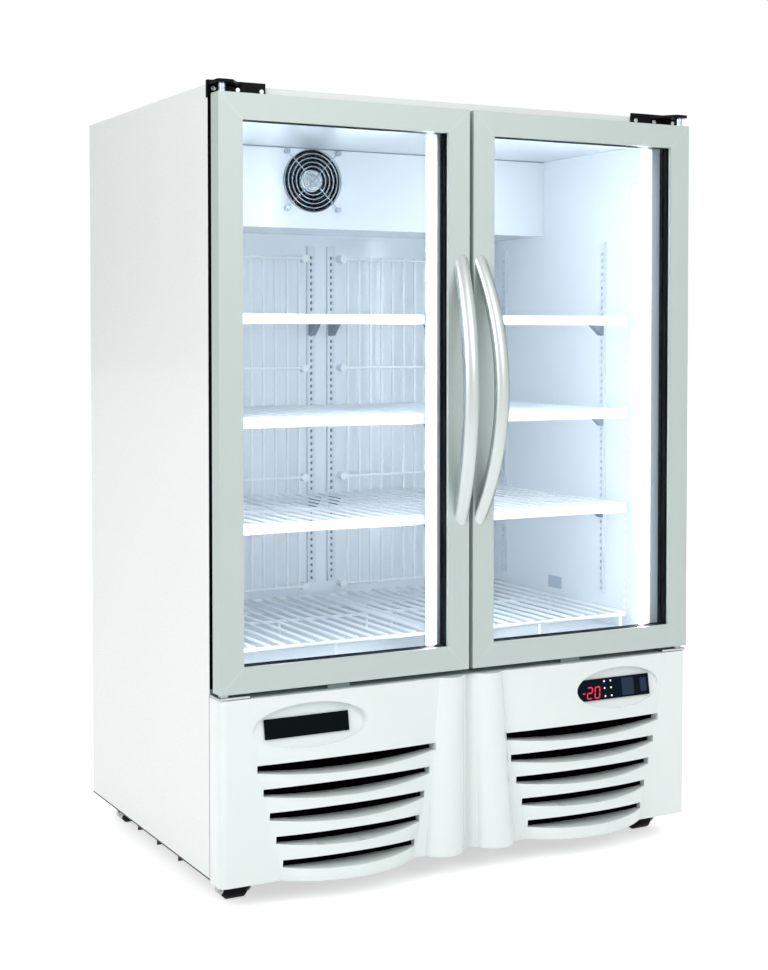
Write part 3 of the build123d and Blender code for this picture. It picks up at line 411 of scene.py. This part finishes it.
bars = {
    "top": (0, digit_height / 2, digit_width, False),
    "middle": (0, 0, digit_width, False),
    "bottom": (0, -digit_height / 2, digit_width, False),
    "upper_left": (-digit_width / 2, digit_height / 4, digit_height / 2, True),
    "upper_right": (digit_width / 2, digit_height / 4, digit_height / 2, True),
    "lower_left": (-digit_width / 2, -digit_height / 4, digit_height / 2, True),
    "lower_right": (digit_width / 2, -digit_height / 4, digit_height / 2, True),
}
minus_x, minus_length = -62.5, 6.0
display = bmesh.new()
segment(display, minus_x, 0, minus_length, stroke, False)
for centre, shown in (
    (-50.0, ("top", "upper_right", "middle", "lower_left", "bottom")),
    (-34.0, ("top", "upper_right", "lower_right", "bottom", "lower_left", "upper_left")),
):
    for name in shown:
        x, y, length, upright = bars[name]
        segment(display, centre + x, y, length * fill, stroke, upright)
fitted(mesh_object(display, "temperature_digits"), lit("red_led_segment", "#D81546", 0.55),
       "cabinet")

window_turn = Matrix.Rotation(math.radians(90.0) - tilt, 4, "X")
window_columns, window_rows, window_lift = (-17.5, -3.8), (13.0, 1.0, -13.0), 0.15
windows = bmesh.new()
for x in window_columns:
    for y in window_rows:
        place = Matrix.Translation(on_film(x, y, window_lift))
        bmesh.ops.create_cone(windows, cap_ends=True, segments=20, radius1=0.0016, radius2=0.0013,
                              depth=0.0003, matrix=place @ window_turn)
fitted(mesh_object(windows, "control_lamps"), lit("white_led_window", "#F2F6FF", 0.7),
       "cabinet")


# Evaporator behind a white cover under the ceiling: cover sheet with a bead of sealant along its
# top, fan in a black frame with a white hub label, chrome wire guard and an aluminium fin coil.
softened("evaporator_cover", "evaporator_housing", "cabinet", liner_enamel, 0.5)
softened("evaporator_fan_frame", "evaporator_shroud", "cabinet", fan_plastic)
softened("evaporator_fan_blades", "evaporator_rotor", "evaporator_fan", fan_plastic)
chrome = finish("bright_chromed_wire", "#AEBBC7", 1.0, 0.2, 2.0, 0.004, spread=0.04)
softened("evaporator_fan_guard", "fan_guard_wires", "cabinet", chrome)
coated_fins = finish("epoxy_coated_dark_fins", "#091320", 0.0, 0.6, 1.5, 0.02, Specular_IOR_Level=0.05)
dress("evaporator_coil", coated_fins)
cover_low, cover_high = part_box("evaporator_cover")
sealant_depth, sealant_height, sealant_gap, sealant_ease = 0.0012, 0.0016, 0.0001, 0.0004
sealant = bmesh.new()
bar(sealant, (cover_low[0], cover_low[1] - sealant_depth, cover_high[2] - sealant_height),
    (cover_high[0], cover_low[1] - sealant_gap, cover_high[2] - sealant_gap), sealant_ease)
fitted(mesh_object(sealant, "cover_sealant"),
       finish("grey_silicone_sealant", "#73828F", 0.0, 0.45, 1.5, 0.02), "cabinet")


def turned(profile, centre, axis, name):
    """A part turned on a lathe: radius and height pairs in mm, spun round an axis through a point."""
    form = bmesh.new()
    turn = Vector((0, 0, 1)).rotation_difference(Vector(axis)).to_matrix().to_4x4()
    place = Matrix.Translation(centre) @ turn
    line = [form.verts.new(place @ Vector((r / 1000, 0, h / 1000))) for r, h in profile]
    edges = [form.edges.new(pair) for pair in zip(line, line[1:])]
    bmesh.ops.spin(form, geom=line + edges, cent=centre, axis=axis, angle=2 * math.pi, steps=40,
                   use_merge=True)
    bmesh.ops.remove_doubles(form, verts=form.verts, dist=1e-6)
    bmesh.ops.recalc_face_normals(form, faces=form.faces)
    for face in form.faces:
        face.smooth = True
    piece = mesh_object(form, name)
    piece.data.set_sharp_from_angle(angle=math.radians(40))
    return piece


rotor_low, rotor_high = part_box("evaporator_fan_blades")
hub_at = ((rotor_low[0] + rotor_high[0]) / 2, rotor_low[1], (rotor_low[2] + rotor_high[2]) / 2)
hub_profile = ((0, 1.2), (9.0, 1.2), (9.4, 0.9), (10.4, 0.9), (10.8, 1.2), (15.4, 1.2), (15.8, 0.9),
               (16.8, 0.9), (17.2, 1.2), (19.6, 1.2), (20.4, 0.7), (20.4, 0.05), (0, 0.05))
fitted(turned(hub_profile, hub_at, (0, -1, 0), "rotor_hub_cap"), white_pvc, "evaporator_fan")


# Shelving: white slotted standards with painted shade in their slots, grey hooked clips, white coated wire
# shelves with white price strips, wire floor racks, the wire guards at the back wall and a bare rating
# plate.
standard_enamel = finish("white_enamelled_slotted_steel", "#DCE4EC", 0.0, 0.34, 2.0, 0.01, tint=0.03)
dress("shelf_standards", standard_enamel)
standard_low, standard_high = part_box("shelf_standards")
wall_x, back_y = standard_high[0], standard_high[1]
post_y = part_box("centre_mullion")[1][1]
pair_x, slot_half, slot_depth, slot_ease = 0.022, 0.0019, 0.0010, 0.0002
slot_low, slot_high = standard_low[2] + 0.004, standard_high[2] - 0.004
back_shade, post_shade = back_y - 0.0004, post_y + 0.0014
shade_near, shade_far = wall_x - 0.0014, wall_x - 0.0004
wall_standards = (-0.093556, 0.254444)
# Dark strips behind the slots are painted shade of the hollow standard channels, so the slots read dark.
shades = bmesh.new()
for side in (-1, 1):
    for y in (back_shade, post_shade):
        bar(shades, (side * pair_x - slot_half, y - slot_depth, slot_low),
            (side * pair_x + slot_half, y, slot_high), slot_ease)
    for y in wall_standards:
        left, right = sorted((side * shade_near, side * shade_far))
        bar(shades, (left, y - slot_half, slot_low), (right, y + slot_half, slot_high), slot_ease)
fitted(mesh_object(shades, "standard_slot_painted_shade"),
       finish("painted_slot_shade", "#0D1419", 0.0, 0.6, 1.2, 0.02, Specular_IOR_Level=0.1),
       "cabinet")
clip_steel = finish("grey_passivated_steel", "#7E8B97", 0.4, 0.42, 1.5, 0.01, tint=0.1)
dress("shelf_clips", clip_steel)
coated_wire = finish("white_coated_wire", "#F0F4F8", 0.0, 0.32, 1.5, 0.01, tint=0.02)
for bay in ("left", "right"):
    for height in ("low", "middle", "high"):
        softened(f"shelf_{bay}_{height}", f"shelf_wires_{bay}_{height}", "cabinet", coated_wire)
softened("price_strips", "price_channels", "cabinet", white_pvc, 0.6)
softened("floor_racks", "floor_rack_wires", "cabinet", coated_wire)
softened("back_guards", "back_guard_wires", "cabinet", coated_wire)
plate_near, plate_far, plate_ease = wall_x - 0.0005, wall_x - 0.0001, 0.0001
plate_front, plate_back, plate_low, plate_high = 0.045, 0.091, 0.408, 0.432
plate = bmesh.new()
bar(plate, (plate_near, plate_front, plate_low), (plate_far, plate_back, plate_high), plate_ease)
fitted(mesh_object(plate, "bare_rating_plate"),
       finish("pale_foil_label", "#B4C3D0", 0.2, 0.4, 1.2, 0.01), "cabinet")


# Door lamps: LED strips in opal polycarbonate covers, two in each bay, on the wall and the mullion,
# with columns of bare LED beads on the enamel beside them. The covers throw most light into the bay.
opal = lit("opal_polycarbonate", "#F3F8FF", 1.0)
opal_tree = opal.node_tree
facing = add(opal_tree, "ShaderNodeNewGeometry")
facing = add(opal_tree, "ShaderNodeSeparateXYZ", [(0, facing.outputs["True Normal"])])
inward = add(opal_tree, "ShaderNodeMath", [(0, facing.outputs["X"])], operation="ABSOLUTE")
shine = add(opal_tree, "ShaderNodeMapRange", [("Value", inward.outputs[0])],
            From_Min=0.3, From_Max=0.9, To_Min=3.0, To_Max=31.0)
opal_shader = opal_tree.nodes["Principled BSDF"]
opal_tree.links.new(opal_shader.inputs["Emission Strength"], shine.outputs["Result"])
softened("door_lamps", "lamp_covers", "cabinet", opal, 2.0)
lamp_low, lamp_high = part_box("door_lamps")
post_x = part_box("centre_mullion")[1][0]
wall_columns, post_columns = (-0.163, -0.186), (-0.206,)
bead_step, bead_start, bead_lift = 0.015, 0.008, 0.0004
beads = bmesh.new()
for wall, out, columns in ((-wall_x, 1, wall_columns), (-post_x, -1, post_columns),
                           (post_x, 1, post_columns), (wall_x, -1, wall_columns)):
    bead_turn = Matrix.Rotation(math.radians(90.0) * out, 4, "Y")
    for y in columns:
        for step in range(int((lamp_high[2] - lamp_low[2]) / bead_step)):
            at = Vector((wall + out * bead_lift, y, lamp_low[2] + bead_start + step * bead_step))
            bmesh.ops.create_cone(beads, cap_ends=True, segments=8, radius1=0.0016, radius2=0.0011,
                                  depth=0.0008, matrix=Matrix.Translation(at) @ bead_turn)
fitted(mesh_object(beads, "led_beads"), lit("white_led_bead", "#FFFFFF", 1.1), "cabinet")


# Hinges: black painted steel brackets on the cabinet front with chromed sleeves on the pins,
# plates under the doors and round-headed screws.
hinge_paint = finish("black_painted_steel", "#04090A", 0.0, 0.34, 1.2, 0.02, Specular_IOR_Level=0.07)
for side_name in ("left", "right"):
    softened(f"top_hinge_{side_name}", f"upper_bracket_{side_name}", "cabinet", hinge_paint,
             0.8)
pin_x, pin_y, sleeve_z = 0.445, -0.269856, 1.2884
sleeve_profile = ((5.2, 0), (5.8, 0), (5.8, 4.2), (5.3, 4.6), (5.3, 6.0), (5.8, 6.4), (5.8, 13.2),
                  (5.2, 13.2))
for side_name, side in (("left", -1), ("right", 1)):
    fitted(turned(sleeve_profile, (side * pin_x, pin_y, sleeve_z), (0, 0, 1), f"hinge_sleeve_{side_name}"),
           chrome, "cabinet")
softened("bottom_hinges", "lower_brackets", "cabinet", zinc, 0.6)
softened("hinge_screws", "bracket_screws", "cabinet", zinc, 0.7)


# Doors: mitred aluminium frames, satin anodised, round a sealed unit of two clear panes.
# A black inner frame, a black spacer and a ribbed rubber gasket close the back; a bowed satin
# handle is screwed on each meeting stile. Fine pale lines along the mitres are painted highlights on the
# mitre joints.
anodised = finish("satin_anodised_aluminium", "#BECAC6", 0.15, 0.4, 1.0, 0.006, tint=0.02)
mitre_highlight_paint = finish("painted_mitre_highlight", "#D2DCD9", 0.2, 0.38, 1.0, 0.006)
spacer_black = finish("dark_anodised_spacer", "#050A10", 0.0, 0.5, 1.5, 0.01, Specular_IOR_Level=0.05)
rubber = finish("black_gasket_rubber", "#050708", 0.0, 0.6, 1.2, 0.03, Specular_IOR_Level=0.06)
glass = bpy.data.materials.new("clear_float_glass")
glass.use_nodes = True
glass_tree = glass.node_tree
glass_tree.nodes.clear()
sheen = add(glass_tree, "ShaderNodeFresnel", IOR=1.08)
clear = add(glass_tree, "ShaderNodeBsdfTransparent", Color=linear("#FEFFFF"))
mirror = add(glass_tree, "ShaderNodeBsdfGlossy", Color=linear("#FFFFFF"), Roughness=0.02)
pane = add(glass_tree, "ShaderNodeMixShader", [("Fac", sheen.outputs[0]), (1, clear.outputs[0]),
           (2, mirror.outputs[0])])
add(glass_tree, "ShaderNodeOutputMaterial", [("Surface", pane.outputs[0])])
brushed = finish("satin_brushed_handle", "#C4CCCA", 1.0, 0.34, 1.2, 0.004, spread=0.05)
seam_start, seam_end, seam_half, seam_skin, seam_ease = 0.003, 0.057, 0.0003, 0.00006, 0.00002
for side_name in ("left", "right"):
    door = f"{side_name}_door"
    softened(f"door_frame_{side_name}", f"door_bars_{side_name}", door, anodised, 1.0)
    softened(f"door_inner_frame_{side_name}", f"door_liner_{side_name}", door, black_pvc,
             0.6)
    dress(f"glass_panes_{side_name}", glass)
    dress(f"glass_spacer_{side_name}", spacer_black)
    dress(f"door_gasket_{side_name}", rubber)
    softened(f"door_handle_{side_name}", f"handle_bar_{side_name}", door, brushed)
    door_low, door_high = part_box(f"door_frame_{side_name}")
    # Pale strips along the mitres are painted highlights of the mitre joints.
    seams = bmesh.new()
    for x, inward in ((door_low[0], 1), (door_high[0], -1)):
        for z, upward in ((door_low[2], 1), (door_high[2], -1)):
            slope = Matrix.Rotation(math.atan2(-upward, inward), 4, "Y")
            corner = Matrix.Translation((x, door_low[1], z)) @ slope
            bar(seams, (seam_start, -seam_skin, -seam_half), (seam_end, seam_skin, seam_half),
                seam_ease, corner)
    fitted(mesh_object(seams, f"mitre_painted_highlights_{side_name}"), mitre_highlight_paint, door)
